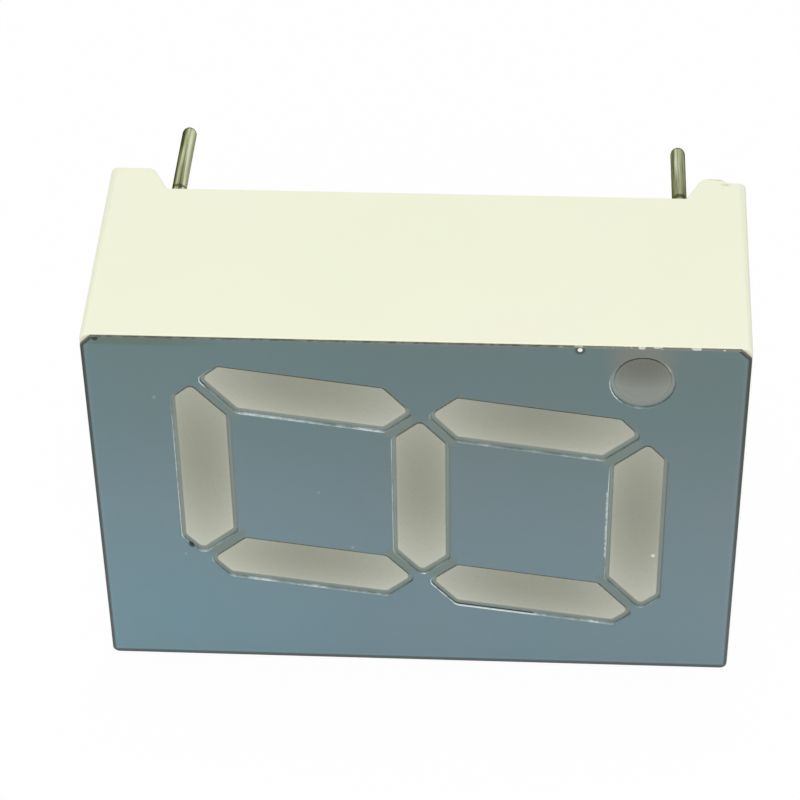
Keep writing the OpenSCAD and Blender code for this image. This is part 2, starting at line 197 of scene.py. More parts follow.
# %% Places and patterns
class Places(Network):
    def mapping(self, scale=(1, 1, 1), centre=(0, 0, 0), turn=(0, 0, 0)):
        """Object coordinates in millimetres, centred, turned and stretched."""
        coordinates = self.node("ShaderNodeTexCoord")
        made = self.node("ShaderNodeMapping", vector_type="TEXTURE")
        made.inputs["Location"].default_value = [c * MM for c in centre]
        made.inputs["Rotation"].default_value = turn
        made.inputs["Scale"].default_value = [MM / s for s in scale]
        self.link(coordinates.outputs["Object"], made.inputs["Vector"])
        return made.outputs["Vector"]

    def along(self, axis):
        """One coordinate of the surface, in millimetres."""
        made = self.node("ShaderNodeSeparateXYZ")
        self.link(self.place, made.inputs[0])
        return made.outputs[axis]

    def distance(self, centre, stretch=(1, 1, 1), turn=(0, 0, 0)):
        """How far the surface is from a centre, in millimetres, stretched along the axes."""
        made = self.node("ShaderNodeVectorMath", operation="LENGTH")
        self.link(self.mapping(stretch, centre, turn), made.inputs[0])
        return made.outputs["Value"]

    def spot(self, centre, near, far, inside=1.0, outside=0.0, stretch=(1, 1, 1)):
        """One value near a centre and another far from it, with a soft change between."""
        return self.fit(self.distance(centre, stretch), near, far, inside, outside)

    def noise(self, scale, detail=2.0, place=None):
        """Noise with a number of swings per millimetre."""
        made = self.node("ShaderNodeTexNoise")
        made.inputs["Scale"].default_value = scale
        made.inputs["Detail"].default_value = detail
        self.link(place or self.place, made.inputs["Vector"])
        return made.outputs["Fac"]

    def patches(self, scale, detail, low, high, least=0.0, most=1.0):
        """Uneven patches between two values, made from the middle range of noise."""
        return self.fit(self.noise(scale, detail), low, high, least, most)

    def outside(self, half_x, half_z):
        """Distance from a centred rectangle in X and Z: below zero inside it."""
        return self.largest(*[self.math("SUBTRACT", self.math("ABSOLUTE", self.along(axis)), half)
                              for axis, half in (("X", half_x), ("Z", half_z))])

    def beyond_cut(self, cut):
        """Distance from the line that cuts off the two upper corners of the front."""
        total = self.math("ADD", self.math("ABSOLUTE", self.along("X")), self.along("Z"))
        beyond = self.math("SUBTRACT", total, FRONT_X + FRONT_Z - cut)
        return self.math("MULTIPLY", beyond, math.sqrt(0.5))

print("places:", ", ".join(name for name in vars(Places) if not name.startswith("_")))

# %% [markdown]
# Every finish starts the same way, from a Principled shader with a colour and a gloss. Some
# pieces are new and some are CAD nodes, which only wear the finish in their own slots.

# %% A start for every finish
class Finish(Places):
    def __init__(self, name, colour, roughness, metallic=0.0):
        self.material = bpy.data.materials.new(name)
        self.material.use_nodes = True
        self.tree = self.material.node_tree
        self.shader = self.tree.nodes["Principled BSDF"]
        self.shader.inputs["Base Color"].default_value = (*colour, 1)
        self.shader.inputs["Roughness"].default_value = roughness
        self.shader.inputs["Metallic"].default_value = metallic
        self.place = self.mapping()

    def colour(self, source):
        self.link(source, self.shader.inputs["Base Color"])

    def roughness(self, source):
        self.link(source, self.shader.inputs["Roughness"])

    def bump(self, height, depth_mm, strength=1.0):
        made = self.node("ShaderNodeBump")
        made.inputs["Strength"].default_value = strength
        made.inputs["Distance"].default_value = depth_mm * MM
        self.link(height, made.inputs["Height"])
        self.link(made.outputs["Normal"], self.shader.inputs["Normal"])


def wear(node_name, finish):
    """A CAD node gets a finish in its material slots."""
    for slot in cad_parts[node_name].material_slots:
        slot.material = finish.material
    print(node_name, "wears", finish.material.name)

print("each finish has", ", ".join(name for name in vars(Finish) if not name.startswith("_")))

# %% [markdown]
# A CAD node is a cloud of loose triangles. To bevel or inset it, a copy is merged and its
# flat faces are joined again, and the copy stands for the node. The copy is worked on at a
# thousand times its size, in millimetres, because the operators have tolerances of their own
# that are coarse for a thing this small. It shrinks back when it becomes a piece.

# %% Copies of CAD nodes
def merged(node_name):
    """The node as one clean mesh in millimetres, with its flat faces whole."""
    bm = bmesh.new()
    bm.from_mesh(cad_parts[node_name].data)
    bmesh.ops.scale(bm, verts=bm.verts, vec=(1 / MM,) * 3)
    bmesh.ops.remove_doubles(bm, verts=bm.verts, dist=0.0005)
    bmesh.ops.dissolve_limit(bm, angle_limit=math.radians(0.5), use_dissolve_boundaries=False,
                             verts=bm.verts, edges=bm.edges, delimit=set())
    return bm


def faces_at(bm, y):
    """The faces that look to the front at a depth."""
    return [f for f in bm.faces if f.normal.y < -0.99 and abs(f.calc_center_median().y - y) < 0.01]

print("the foil has", len(merged("face_foil").faces), "faces once its triangles are joined")

# %% [markdown]
# A finished piece is made smooth where its faces are narrow and meet at a small angle. Wide
# faces are left flat, because smoothing would bend the light on them towards their edges.

# %% Finished pieces
WIDE_FACE = 0.5

def piece(name, bm, finish, stands_for, smooth_under=30):
    """A finished piece that rides on the body. Faces over WIDE_FACE, in square mm, stay flat."""
    bmesh.ops.scale(bm, verts=bm.verts, vec=(MM,) * 3)
    mesh = bpy.data.meshes.new(name)
    bm.to_mesh(mesh)
    bm.free()
    mesh.materials.append(finish.material)
    made = bpy.data.objects.new(name, mesh)
    bpy.context.scene.collection.objects.link(made)
    mesh.shade_smooth()
    mesh.set_sharp_from_angle(angle=math.radians(smooth_under))
    for face in mesh.polygons:
        face.use_smooth = face.area < WIDE_FACE * MM ** 2
    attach(made, "root")
    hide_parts(*stands_for)
    print(name, len(mesh.polygons), "faces")
    return made

print("faces over", WIDE_FACE, "square mm stay flat")

# %% [markdown]
# The housing is injection moulded in opaque, slightly yellow white. Its walls are smooth but
# not polished: a broad, faint change of tone, and a very fine grain from the mould.
# Its outer edges are a little round, so a narrow bevel runs along those that are in the open.
# The gaps round the windows show olive glue on the front, painted lighter to lift the shade in the narrow
# gaps, with a painted highlight by the decimal point. One foot has grey patches of painted shade at its
# rounded corner.

# %% White moulded plastic
# Grey patches of painted shade at the rounded corner of one foot.
FOOT_SHADE_SPOTS = [(8.46, -0.02, 6.25), (8.72, -0.06, 6.25), (8.92, -0.30, 6.25)]
PLATE_MARGIN = 0.1

def white_plastic():
    f = Finish("white plastic", (0.87, 0.87, 0.68), 0.42)
    tone = f.ramp(f.noise(0.16, 2.0), (0.3, (0.84, 0.872, 0.665)), (0.7, (0.86, 0.862, 0.68)))
    # Painted shade: grey patches at the foot's corner.
    foot_shade_marks = [f.spot(centre, 0.08, 0.24, inside=0.75, stretch=(1, 2.2, 1)) for centre in FOOT_SHADE_SPOTS]
    foot_shade = f.product(f.largest(*foot_shade_marks), f.patches(4.0, 2.0, 0.42, 0.55, 0.3, 1.0))
    tone = f.blend(foot_shade, tone, (0.50, 0.51, 0.47))
    # Olive glue in the gaps round the windows, painted lighter to lift the shade there.
    f.colour(f.blend(plate_under_foil(f), tone, glue_and_painted_light(f)))
    f.roughness(f.patches(3.0, 3.0, 0.3, 0.7, 0.38, 0.50))
    f.bump(f.noise(14.0, 3.0), 0.002, 0.5)
    return f


def plate_under_foil(f):
    """1 on the front plate of the housing, up to a small margin inside the foil's outline."""
    beyond_margin = f.largest(f.outside(FRONT_X - PLATE_MARGIN, FRONT_Z - PLATE_MARGIN),
                              f.beyond_cut(CUT + PLATE_MARGIN))
    on_plate = f.math("LESS_THAN", f.along("Y"), PLATE_Y + 0.02)
    return f.product(on_plate, f.math("LESS_THAN", beyond_margin, 0.0))


def glue_and_painted_light(f):
    """Olive glue, painted lighter to lift the shade in the narrow gaps, and painted paler still round the
    decimal point, with one painted highlight there.
    """
    by_point = f.spot(at_depth(POINT, PLATE_Y), 1.0, 1.2)
    # A painted highlight beside the decimal point.
    point_highlight = f.spot(at_depth(POINT, PLATE_Y, 0.6, 0.5), 0.1, 0.4)
    ring = f.blend(point_highlight, (0.285, 0.325, 0.30), (0.55, 0.56, 0.48))
    return f.blend(by_point, (0.255, 0.305, 0.270), ring)


def housing_mesh():
    """The housing with the sharp edges of its outside rounded."""
    bm = merged("housing")
    edges = [e for e in bm.edges if len(e.link_faces) == 2 and e.calc_face_angle(0) > math.radians(40)
             and all(on_the_outside(v) for v in e.verts)]
    bmesh.ops.bevel(bm, geom=edges, offset=0.05, offset_type="OFFSET", affect="EDGES",
                    segments=3, profile=0.5, material=-1, clamp_overlap=True)
    print(len(edges), "housing edges rounded")
    return bm

piece("shell", housing_mesh(), white_plastic(), ("housing",))

# %% [markdown]
# Some finishes follow the windows: the resin carries painted shade over the middle of its bar,
# and the narrow webs of foil between two bars show the glue behind. Both need a middle, a
# direction and a half length, which come from the corners of the windows in the frame.

# %% Where the windows and the webs between them are
def front_corners(node_name):
    """The corners of a window's front, in millimetres."""
    corners_mm = {tuple(round(c / MM, 4) for c in v.co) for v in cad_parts[node_name].data.vertices}
    return [Vector((x, 0, z)) for x, y, z in sorted(corners_mm) if abs(y - WINDOW_Y) < 0.01]


def outline_frame(points):
    """Middle, direction and half length of a group of points."""
    middle = sum(points, Vector()) / len(points)
    sxx = sum((p.x - middle.x) ** 2 for p in points)
    szz = sum((p.z - middle.z) ** 2 for p in points)
    sxz = sum((p.x - middle.x) * (p.z - middle.z) for p in points)
    direction = 0.5 * math.atan2(2 * sxz, sxx - szz)
    along = Vector((math.cos(direction), 0, math.sin(direction)))
    reach = max(abs((p - middle).dot(along)) for p in points)
    return (middle.x, middle.z), direction, reach


def webs_between(outlines, widest=0.75):
    """A frame for each place where two windows come closer to each other than the widest web."""
    found = []
    for number, first in enumerate(outlines):
        for second in outlines[number + 1:]:
            near = [p for p in first if min((p - q).length for q in second) < widest]
            near += [q for q in second if min((q - p).length for p in first) < widest]
            if len(near) > 5:
                found.append(outline_frame(near))
    return found

WEBS = webs_between([front_corners("window_" + light) for light in LIGHTS])
for centre, direction, reach in WEBS:
    print("web at", round(centre[0], 2), round(centre[1], 2),
          "turned", round(math.degrees(direction)), "half length", round(reach, 2))

# %% [markdown]
# The bars end in points. In the frame the windows' tips have a radius of 0.3 mm, but on the
# real display it is nearer half of that. A round corner stays an arc of the same turn when
# its points are scaled about the sharp corner that it rounds, so no new points are needed.
# The outline is walked from one straight side to the next, and the points passed on the way
# are one round corner. It counts as a tip if it starts far enough from its sharp corner.

# %% Sharper tips
TIP_SHARE = 0.5
TIP_REACH = 0.2
SHORTEST_SIDE = 0.28

def arcs_between_sides(border):
    """Each round corner of the outlines, as its points and the sharp corner it rounds."""
    sides = [e for e in border if e.calc_length() > SHORTEST_SIDE]
    found = {}
    for side in sides:
        for start in side.verts:
            chain = [start]
            edge = side
            while True:
                onward = [e for e in chain[-1].link_edges if e in border and e is not edge]
                if len(onward) != 1 or onward[0] in sides:
                    break
                edge = onward[0]
                chain.append(edge.other_vert(chain[-1]))
            if len(onward) == 1 and len(chain) > 1:
                far = side.other_vert(start).co, onward[0].other_vert(chain[-1]).co
                sharp = intersect_line_line(far[0], start.co, chain[-1].co, far[1])[0]
                found[frozenset(chain)] = sharp
    return found


def sharpen_tips(bm, level):
    """Bring the tips of the bars closer to a point. Points right behind one another stay so."""
    front = set(faces_at(bm, level))
    border = [e for e in bm.edges if sum(face in front for face in e.link_faces) == 1
              and not any(on_the_outside(v) for v in e.verts)]
    moves = {}
    for chain, sharp in arcs_between_sides(border).items():
        if max((v.co - sharp).length for v in chain) > TIP_REACH:
            for v in chain:
                moves[(round(v.co.x, 3), round(v.co.z, 3))] = (sharp - v.co) * (1 - TIP_SHARE)
    for v in bm.verts:
        move = moves.get((round(v.co.x, 3), round(v.co.z, 3)))
        if move is not None:
            v.co.x += move.x
            v.co.z += move.z
    bm.normal_update()
    turned = [face for face in front if face.normal.y > 0]
    print(len(moves), "points of the tips moved,", len(turned), "faces turned over")

print("round corners keep", TIP_SHARE, "of their radius at the tips")

# %% [markdown]
# The foil is a sheet of grey plastic. Its tone goes from a blue grey below to a darker grey
# above, a painted reflection of the surroundings, with faint clouds. It looks olive where it is
# narrow and the glue shows through: in a band round each rim and in the webs between two windows.
# Glue has also spread above the decimal point and along the upper edge at the left, and a few
# pale specks lie on the foil. The tone is built up from the widest change to the smallest mark,
# each blended over the last.

# %% Tone of the foil
SPECKS = [
    # place, size in mm, strength
    ((-7.44, 4.08), 0.05, 0.3),
    ((-2.84, 0.57), 0.04, 0.3),
    ((-1.90, -1.60), 0.05, 0.35),
    ((-6.90, -2.02), 0.03, 0.4),
]

def foil_tone(f):
    """The broad colours of the foil."""
    x, z = f.along("X"), f.along("Z")
    # Darker towards the top: a painted reflection of the surroundings.
    tone = f.ramp(f.fit(z, -6.3, 6.3), (0.0, (0.152, 0.243, 0.283)), (0.5, (0.150, 0.215, 0.242)),
                  (1.0, (0.115, 0.177, 0.181)))
    sideways = f.ramp(f.fit(x, -9.5, 9.5), (0.0, (1.0, 1.09, 1.09)), (0.4, (0.985, 0.985, 0.975)),
                      (1.0, (0.985, 0.98, 0.95)))
    clouds = f.ramp(f.noise(0.22, 2.0), (0.3, (0.95, 1.0, 1.02)), (0.7, (1.04, 0.99, 1.0)))
    tone = f.tint(f.tint(tone, sideways), clouds, 0.8)
    band = f.product(f.attribute("band"), f.patches(1.1, 2.0, 0.3, 0.7, 0.75, 1.0), 0.3)
    return f.blend(band, tone, (0.150, 0.190, 0.175))


def glue_behind(f, tone):
    """Olive glue that shows through the webs, above the point and at the upper left."""
    for centre, direction, reach in WEBS:
        away = f.distance(at_depth(centre, 0), (1.08 / reach, 0.001, 5), (0, -direction, 0))
        tone = f.blend(f.fit(away, 0.8, 1.2, 0.9, 0.0), tone, (0.160, 0.207, 0.182))
    haze = f.spot(at_depth(POINT, FACE_Y, -0.05, 0.75), 0.30, 1.25, inside=0.8, stretch=(1, 1, 0.75))
    tone = f.blend(haze, tone, (0.190, 0.195, 0.165))
    at_top = f.fit(f.along("Z"), FRONT_Z - 0.30, FRONT_Z - 0.20)
    at_left = f.fit(f.along("X"), -5.0, -7.5, 0.0, 0.7)
    return f.blend(f.product(at_top, at_left), tone, (0.095, 0.150, 0.105))


def specks(f, tone):
    """Small pale specks, solid to half their size and gone at one and a half times it."""
    for place, size, strength in SPECKS:
        speck = f.spot(at_depth(place, FACE_Y), 0.5 * size, 1.5 * size, inside=strength)
        tone = f.blend(speck, tone, (0.42, 0.50, 0.52))
    return tone

print(len(SPECKS), "specks and", len(WEBS), "webs in the tone of the foil")

# %% [markdown]
# A pale, uneven line of painted highlight runs along the lower and left rim of each opening,
# where the rim faces up or to the right. It is fainter on one bar and round the point. At a few
# places the painted highlight is palest and the wall below it carries painted shade. Small
# bubbles stand beside the rim of one bar. Two values that the mesh carries per vertex, band and
# one for the highlight, say where a rim is, so that the finish needs to know only which
# stretches of it are stronger or fainter than the rest.

# %% Painted highlights on the rims
FAINT_HIGHLIGHT_BAR = (4.3, 3.2)
BUBBLES = (5.6, -0.4)
# Places where the painted highlight on the rim is palest and painted shade darkens the wall below it.
STRONG_HIGHLIGHTS = [
    # place, size in mm
    ((0.62, -3.15), 0.35),
    ((1.7, -3.8), 0.75),
    ((-6.1, 4.9), 0.25),
    ((5.55, -0.1), 0.9),
    ((POINT[0] - 0.85, POINT[1] - 0.4), 0.25),
]

def strong_highlight_places(f):
    """Well over 1 along the stretches of rim where the painted highlight is palest, and 0 elsewhere."""
    places = [f.spot(at_depth(place, FACE_Y), size, 2 * size, inside=5.0, stretch=(0.7, 1, 1))
              for place, size in STRONG_HIGHLIGHTS]
    return f.product(f.largest(*places), f.patches(6.0, 1.0, 0.35, 0.50, 0.35, 1.0))


def torn_rims(f, tone):
    """The painted highlight along the rims, and painted shade on the wall below where it is palest."""
    uneven = f.product(f.patches(0.8, 1.0, 0.35, 0.55, 0.35, 1.15),
                       f.patches(5.0, 2.0, 0.35, 0.60, 0.5, 1.0))
    faint_highlight_bar = f.spot(at_depth(FAINT_HIGHLIGHT_BAR, FACE_Y), 1.0, 1.6, inside=0.6, outside=1.0, stretch=(0.5, 1, 1))
    faint_highlight_point = f.spot(at_depth(POINT, FACE_Y), 1.1, 1.3, inside=0.45, outside=1.0)
    strong_highlight = strong_highlight_places(f)
    amount = f.math("ADD", f.product(uneven, faint_highlight_bar, faint_highlight_point), strong_highlight)
    torn = f.math("MINIMUM", f.product(f.attribute("torn"), amount), 0.85)
    # Painted highlight along the rims that face up or to the right.
    tone = f.blend(torn, tone, (0.78, 0.92, 0.93))
    # Painted shade on the wall below where the painted highlight is palest.
    wall = f.fit(f.along("Y"), FACE_Y + 0.05, FACE_Y + 0.06)
    dark = f.product(f.math("MINIMUM", strong_highlight, 1.0), wall, f.attribute("band"))
    return f.blend(dark, tone, (0.03, 0.035, 0.028))


def bubbles(f, tone):
    """Pale bubbles in a narrow strip beside one rim."""
    near = f.spot(at_depth(BUBBLES, FACE_Y), 0.85, 1.0, stretch=(2.5, 1, 0.7))
    beside_rim = f.fit(f.attribute("band"), 0.35, 0.6)
    amount = f.product(near, beside_rim, f.patches(7.0, 1.0, 0.42, 0.55, 0.2, 0.9))
    return f.blend(amount, tone, (0.50, 0.58, 0.56))

print(len(STRONG_HIGHLIGHTS), "split stretches of rim")

# %% [markdown]
# All round the outside the cut edge of the foil is dark with glue. On the front, beside it, a
# thin dark line of painted shade follows the rounded edge, with a faint painted highlight inside
# it, which leaves out the upper edge, apart from its two cut corners. The edge itself is covered
# in glue, and frayed at the upper right. A dark spot and a bubble, whose bright middle is a
# painted highlight, lie at the upper edge, and one more dark spot at the lower end of the
# leftmost bar.

# %% Edge of the foil
SPOTS = [
    # place, size in mm, colour, drawn one over the other
    ((-6.67, -1.62), 0.13, (0.03, 0.035, 0.03)),
    ((-8.97, 6.20), 0.09, (0.008, 0.02, 0.012)),
    ((4.63, 6.15), 0.15, (0.05, 0.06, 0.06)),
    # the bubble's bright middle is a painted highlight
    ((4.63, 6.16), 0.07, (0.9, 0.95, 0.9)),
]

def outer_shade_lines(f, tone):
    """Painted shade in a thin line along the sides, the lower edge and the cut corners, with a faint
    painted highlight inside it.
    """
    beside = f.math("SUBTRACT", f.math("ABSOLUTE", f.along("X")), FRONT_X)
    below = f.math("SUBTRACT", f.product(f.along("Z"), -1.0), FRONT_Z - 0.04)
    outside = f.largest(beside, below, f.beyond_cut(CUT - 0.03))
    # A faint painted highlight inside the edge.
    tone = f.blend(f.fit(outside, -0.24, -0.14, 0.0, 0.09), tone, (0.30, 0.38, 0.40))
    # Painted shade along the rounded outer edge.
    edge_shade = f.ramp(f.fit(f.along("Z"), -6.3, 6.3), (0.0, (0.070, 0.092, 0.088)),
                  (1.0, (0.035, 0.048, 0.038)))
    return f.blend(f.fit(outside, -0.13, -0.07), tone, edge_shade)


def glue_spots(f, tone):
    """The dark spots, and the bubble with a painted highlight in its middle."""
    for place, size, colour in SPOTS:
        tone = f.blend(f.spot(at_depth(place, FACE_Y), 0.7 * size, 1.2 * size), tone, colour)
    return tone


def glued_edge(f, tone):
    """Glue over the outer walls of the foil, frayed and pale at the upper right."""
    edge = f.largest(f.outside(FRONT_X, FRONT_Z), f.beyond_cut(CUT))
    behind_face = f.fit(f.along("Y"), FACE_Y + 0.002, FACE_Y + 0.012)
    glue = f.blend(f.patches(4.0, 2.0, 0.4, 0.6), (0.045, 0.055, 0.035), (0.12, 0.13, 0.095))
    fray = f.blend(f.patches(4.0, 1.0, 0.56, 0.61), (0.15, 0.15, 0.115), (0.60, 0.60, 0.49))
    on_top = f.math("GREATER_THAN", f.along("Z"), FRONT_Z - 0.05)
    glue = f.blend(f.product(f.fit(f.along("X"), 3.5, 5.5), on_top), glue, fray)
    return f.blend(f.product(f.fit(edge, -0.025, -0.010), behind_face), tone, glue)

print(len(SPOTS), "spots drawn")

# %% [markdown]
# The foil's mesh is the punched sheet, and punching rounds its rims over. An inset makes
# a narrow band round every rim, and a bevel rounds the rims. Then each vertex gets two values:
# band fades from 1 at a rim to 0 over the width of the inset, and the other is 1 on the rounding
# and the wall of a rim where they face up or to the right, where the painted highlight goes.

# %% Grey foil
def grey_foil():
    f = Finish("grey foil", (0.15, 0.225, 0.245), 0.42)
    tone = foil_tone(f)
    for step in (glue_behind, specks, torn_rims, bubbles, outer_shade_lines, glue_spots, glued_edge):
        tone = step(f, tone)
    f.colour(tone)
    f.roughness(f.patches(2.0, 3.0, 0.3, 0.7, 0.36, 0.46))
    f.bump(f.noise(9.0, 3.0), 0.001, 0.4)
    return f


def foil_mesh():
    """The foil with rounded rims and the two values that its finish reads."""
    bm = merged("face_foil")
    band = bm.verts.layers.float.new("band")
    torn = bm.verts.layers.float.new("torn")
    sharpen_tips(bm, FACE_Y)
    inner = faces_at(bm, FACE_Y)
    bmesh.ops.inset_region(bm, faces=inner, thickness=0.10, depth=0, use_even_offset=True)
    front = set(faces_at(bm, FACE_Y))
    rims = [e for e in bm.edges if sum(face in front for face in e.link_faces) == 1]
    bmesh.ops.bevel(bm, geom=rims, offset=0.025, offset_type="OFFSET", affect="EDGES",
                    segments=3, profile=0.5, material=-1, clamp_overlap=True)
    bm.normal_update()
    calm = {v for face in inner for v in face.verts}
    for v in bm.verts:
        sunk = min(1.0, max(0.0, (v.co.y - FACE_Y - 0.001) / 0.008))
        flat = max(0.0001, math.hypot(v.normal.x, v.normal.z))
        facing = max(0.0, v.normal.z / flat, v.normal.x / flat) ** 6
        v[band] = 0.0 if v in calm else 1.0
        # The second value marks where the painted highlight goes: rims that face up or to the right.
        v[torn] = 0.0 if on_the_outside(v) else sunk * facing
    print(len(front), "front faces,", len(rims), "rim edges")
    return bm

piece("foil", foil_mesh(), grey_foil(), ("face_foil",))

# %% [markdown]
# Each window is resin cast into a white funnel. Its colour carries painted shade over the deep
# middle of the funnel, and since light falls in from above, that painted shade sits a little
# towards the top. It is painted palest at the ends and along its edge, where the white wall lies
# just under it. At the very edge a ring carries a painted highlight and the outermost ring
# painted shade. Three insets round the front face carry the edge as a value per vertex.
# Together they stay narrower than the round corners, which would otherwise fold over.

# %% Milky windows
WINDOW_SPECK = (6.99, -1.66)

def milky(name, outline, deep, pale, edge):
    """Resin with painted shade in a deep colour over the middle of its outline, and painted pale towards
    the ends.
    """
    f = Finish(name, pale, 0.30)
    centre, direction, reach = outline
    lift = 0.35 + 0.25 * abs(math.sin(direction))
    away = f.distance(at_depth(centre, 0, 0, lift), (1 / reach, 0.001, 0.85), (0, -direction, 0))
    # Painted shade: deep over the middle of the funnel, pale towards the ends and edge.
    body = f.blend(f.product(f.math("POWER", away, 2.0), 0.75), deep, pale)
    body = f.tint(body, f.ramp(f.fit(f.along("Z"), -6.0, 6.0), (0.0, 1.06), (1.0, 0.95)))
    body = f.tint(body, f.ramp(f.fit(f.along("X"), -8.0, 8.0), (0.0, 1.01), (1.0, 0.95)))
    clouds = f.ramp(f.noise(0.6, 2.0), (0.3, (0.96, 0.96, 0.97)), (0.7, (1.03, 1.03, 1.0)))
    body = f.tint(body, clouds, 0.5)
    speck = f.spot(at_depth(WINDOW_SPECK, WINDOW_Y), 0.04, 0.08, inside=0.8)
    body = f.blend(speck, body, (0.75, 0.78, 0.70))
    # Rings at the edge: a painted highlight, and painted shade in the outermost one.
    f.colour(f.tint(body, f.ramp(f.attribute("rim"), (0.0, 1.0), (0.5, edge), (1.0, 0.86))))
    f.roughness(f.patches(2.0, 2.0, 0.3, 0.7, 0.26, 0.34))
    return f


def window_mesh(node_name):
    """The front of the resin, inset in narrow rings that carry the painted highlight and painted shade of
    the edge.
    """
    bm = merged(node_name)
    rim = bm.verts.layers.float.new("rim")
    sharpen_tips(bm, WINDOW_Y)
    front = faces_at(bm, WINDOW_Y)
    for v in front[0].verts:
        v[rim] = 1.0
    for thickness, value in ((0.03, 0.5), (0.04, 0.5), (0.04, 0.0)):
        bmesh.ops.inset_region(bm, faces=front, thickness=thickness, depth=0, use_even_offset=True)
        for v in front[0].verts:
            v[rim] = value
    print(node_name, len(front), "front faces")
    return bm


# for each light: deep colour of the painted shade, pale colour, brightness of the painted highlight at the
# edge
looks = {light: ((0.298, 0.307, 0.240), (0.490, 0.508, 0.417), 1.03) for light in LIGHTS}
looks["point"] = ((0.150, 0.158, 0.130), (0.255, 0.280, 0.250), 1.05)
for light, (deep, pale, edge) in looks.items():
    node_name = "window_" + light
    finish = milky("milky resin " + light, outline_frame(front_corners(node_name)), deep, pale, edge)
    piece("resin_" + light, window_mesh(node_name), finish, (node_name,))

# %% [markdown]
# The leads are round wire, dipped in tin. The tin dries in thin streaks along the wire and has
# dulled to a warm grey. The left side of each wire carries a painted reflection of dark
# surroundings, and the tip is dark where the coat ends. The left row has a painted highlight of
# lighter grey on the right, and the right row painted shade there. The top lead of each row has
# a painted shadow a little behind the housing. The leads keep their CAD mesh, so everything is
# in the finish.

# %% Tinned wire
TIP_DARK = (0.26, 0.10)
BASE_SHADOW_Y = 0.55
TOP_LEADS_Z = 4.5

def tinned():
    f = Finish("tinned wire", (0.34, 0.35, 0.22), 0.38, metallic=1.0)
    f.shader.inputs["Specular Tint"].default_value = (0.25, 0.26, 0.17, 1)
    streaks = f.noise(1.0, 3.0, f.mapping(scale=(9, 0.3, 9)))
    tone = f.ramp(streaks, (0.36, (0.12, 0.125, 0.065)), (0.50, (0.33, 0.35, 0.20)),
                  (0.64, (0.66, 0.70, 0.50)))
    f.colour(dark_tips(f, painted_base_shadow(f, painted_light_sides(f, tone))))
    f.roughness(f.patches(4.0, 3.0, 0.3, 0.7, 0.25, 0.45))
    f.bump(f.noise(1.0, 2.0, f.mapping(scale=(12, 1.5, 12))), 0.01, 0.6)
    return f


def rows(f):
    """1 on the leads of the right row, and 1 on those of the left row."""
    x = f.along("X")
    return f.math("GREATER_THAN", x, 0.0), f.math("LESS_THAN", x, 0.0)


def painted_light_sides(f, tone):
    """A painted dark reflection on the left of each wire, and on its right a painted highlight in the left
    row and painted shade in the right row.
    """
    x = f.along("X")
    across = f.math("SUBTRACT", x, f.product(f.math("SIGN", x), LEAD_X))
    right_row, left_row = rows(f)
    # Painted reflection: dark on the left of each wire.
    left_reflection = f.product(f.fit(across, -0.11, -0.20), f.fit(x, -1.0, 1.0, 0.85, 0.5))
    tone = f.blend(left_reflection, tone, (0.08, 0.085, 0.05))
    # Painted highlight on the right of the left row.
    right_highlight = f.product(f.fit(across, 0.06, 0.16), left_row, 0.45)
    tone = f.blend(right_highlight, tone, (0.80, 0.82, 0.62))
    # Painted shade on the right of the right row.
    right_shade = f.product(f.fit(across, -0.10, -0.03), right_row, 0.35)
    return f.blend(right_shade, tone, (0.16, 0.165, 0.10))


def painted_base_shadow(f, tone):
    """A broken dark ring of painted shadow on the two leads at the top."""
    from_ring = f.math("ABSOLUTE", f.math("SUBTRACT", f.along("Y"), BASE_SHADOW_Y))
    at_top = f.math("GREATER_THAN", f.along("Z"), TOP_LEADS_Z)
    # Painted shadow a little behind the housing.
    base_shadow = f.product(f.fit(from_ring, 0.05, 0.14, 1.0, 0.0), f.patches(5.0, 1.0, 0.40, 0.55), at_top, 0.8)
    return f.blend(base_shadow, tone, (0.05, 0.055, 0.03))


def dark_tips(f, tone):
    """Dark over the last quarter of a millimetre of each lead. The rows differ in length."""
    tips = [f.product(f.fit(f.along("Y"), end - TIP_DARK[0], end - TIP_DARK[1]), row)
            for end, row in zip(LEAD_ENDS, rows(f))]
    return f.blend(f.product(f.largest(*tips), 0.85), tone, (0.07, 0.075, 0.035))

lead_low, lead_high = corners("lead_1")
LEAD_X = (lead_low.x + lead_high.x) / 2
LEAD_ENDS = [corners(name)[1].y for name in ("lead_1", "lead_6")]
wire_finish = tinned()
for number in range(1, 11):
    wear("lead_%d" % number, wire_finish)

# %% [markdown]
# The back is closed by cloudy, faintly yellow resin, poured over the circuit board. It
# creeps up the walls and the leads while it is wet, so that it shines in soft curves there.
# Insets follow every border of the surface, and the outer border of each ring is lifted
# more than that of the ring inside it.

# %% Poured resin
CREEP = [
    # width of the ring, height of its outer border above the still surface, in mm
    (0.04, 0.20),
    (0.06, 0.09),
    (0.08, 0.03),
]

def poured_resin():
    f = Finish("poured resin", (0.60, 0.60, 0.45), 0.12)
    f.colour(f.ramp(f.noise(0.35, 3.0), (0.3, (0.50, 0.51, 0.37)), (0.7, (0.62, 0.61, 0.46))))
    f.roughness(f.patches(1.2, 2.0, 0.3, 0.7, 0.08, 0.16))
    f.bump(f.noise(0.6, 2.0), 0.03, 0.5)
    return f


def resin_surface():
    """The potting with its back surface drawn up along every border."""
    bm = merged("potting")
    still = [face for face in bm.faces
             if face.normal.y > 0.99 and abs(face.calc_center_median().y - POTTING_Y) < 0.01]
    for width, lift in CREEP:
        border = {e for face in still for e in face.edges
                  if sum(other in still for other in e.link_faces) == 1}
        ring = {v for e in border for v in e.verts}
        bmesh.ops.inset_region(bm, faces=still, thickness=width, depth=0, use_even_offset=True)
        for v in ring:
            v.co.y = POTTING_Y + lift
    print(len(still), "faces of still resin")
    return bm

